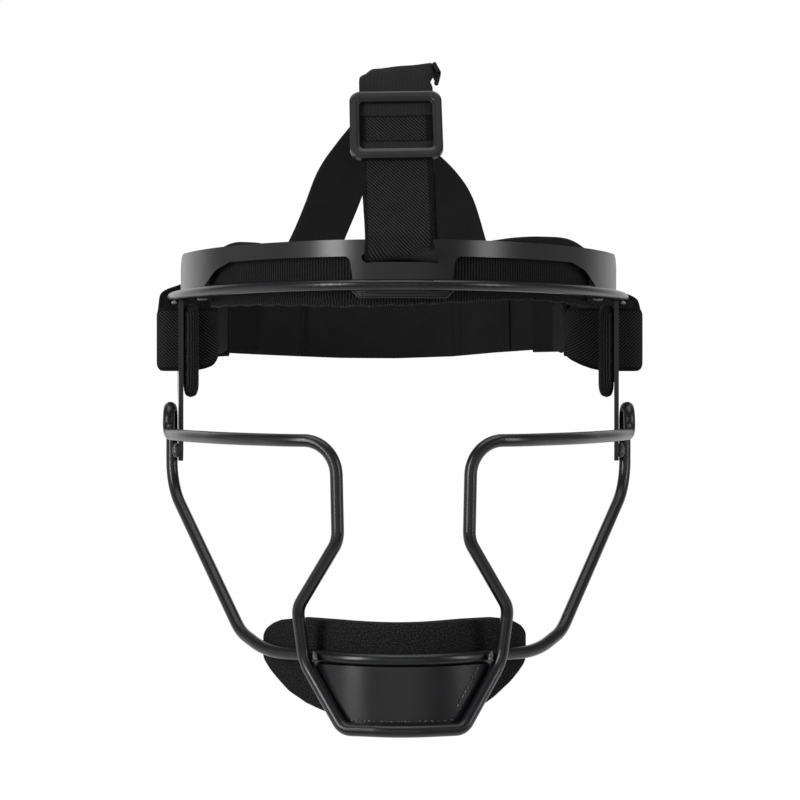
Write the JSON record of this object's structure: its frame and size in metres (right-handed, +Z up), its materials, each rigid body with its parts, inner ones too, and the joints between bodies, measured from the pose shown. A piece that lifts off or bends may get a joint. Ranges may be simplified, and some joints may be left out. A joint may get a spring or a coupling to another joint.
{
  "type": "softball face guard",
  "caption": "Wire face guard with a windowed brow plate, chin plate, knit pads at brow, temples and chin, and elastic straps that fork round a ponytail gap.",
  "frame": {"origin": "middle of the wearer's head at the height of the brow bar's centre line", "axes": "+X to the viewer's right as seen from in front, +Y towards the back of the head, +Z up"},
  "size_m": [0.2056, 0.2124, 0.2608],
  "materials": {
    "frame_black": "satin powder coat",
    "weld": "satin powder coat over a weld bead",
    "pad_knit": "ribbed loop-faced knit",
    "pad_foam": "open foam",
    "hook_tape": "moulded hook tape",
    "strap_elastic": "twill woven elastic",
    "slider_metal": "gloss black coat"
  },
  "bodies": {
    "guard": {"brow_bar": "frame_black", "brow_plate": "frame_black", "face_wire": "frame_black", "jaw_wire": "frame_black", "chin_plate": "frame_black", "weld_beads": "weld", "forehead_hook_strips": "hook_tape", "chin_hook_strip": "hook_tape", "crown_strap": "strap_elastic", "rear_strap": "strap_elastic", "side_strut_left": "frame_black", "temple_hook_strip_left": "hook_tape", "fork_strap_left": "strap_elastic", "side_strap_left": "strap_elastic", "side_strut_right": "frame_black", "temple_hook_strip_right": "hook_tape", "fork_strap_right": "strap_elastic", "side_strap_right": "strap_elastic"},
    "slider": {"slider": "slider_metal", "strap_end_loop": "strap_elastic"},
    "forehead_pad": {"forehead_pad_cover": "pad_knit", "forehead_pad_foam": "pad_foam"},
    "chin_pad": {"chin_pad_cover": "pad_knit", "chin_pad_foam": "pad_foam", "chin_loop_patch": "pad_knit"},
    "temple_pad_left": {"temple_pad_cover_left": "pad_knit", "temple_pad_foam_left": "pad_foam"},
    "hook_tab_left": {"hook_tab_left": "hook_tape"},
    "temple_pad_right": {"temple_pad_cover_right": "pad_knit", "temple_pad_foam_right": "pad_foam"},
    "hook_tab_right": {"hook_tab_right": "hook_tape"}
  },
  "joints": [
    {"name": "slider_slide", "type": "slide", "parent": "guard", "child": "slider", "axis": [-0.0192, 0.4162, 0.9091], "range_m": [-0.002, 0.003]},
    {"name": "forehead_pad_pull", "type": "slide", "parent": "guard", "child": "forehead_pad", "axis": [0, 1, 0], "range_m": [0, 0.02]},
    {"name": "chin_pad_pull", "type": "slide", "parent": "guard", "child": "chin_pad", "axis": [0, 1, 0], "range_m": [0, 0.02]},
    {"name": "temple_pad_pull_left", "type": "slide", "parent": "guard", "child": "temple_pad_left", "axis": [0.9951, 0.0993, 0], "range_m": [0, 0.015]},
    {"name": "hook_tab_peel_left", "type": "hinge", "parent": "guard", "child": "hook_tab_left", "pos_m": [-0.07506, 0.05044, -0.007], "axis": [0, 0, 1], "range_deg": [-60, 0]},
    {"name": "temple_pad_pull_right", "type": "slide", "parent": "guard", "child": "temple_pad_right", "axis": [-0.9951, 0.0993, 0], "range_m": [0, 0.015]},
    {"name": "hook_tab_peel_right", "type": "hinge", "parent": "guard", "child": "hook_tab_right", "pos_m": [0.07506, 0.05044, -0.007], "axis": [0, 0, 1], "range_deg": [0, 60]}
  ]
}
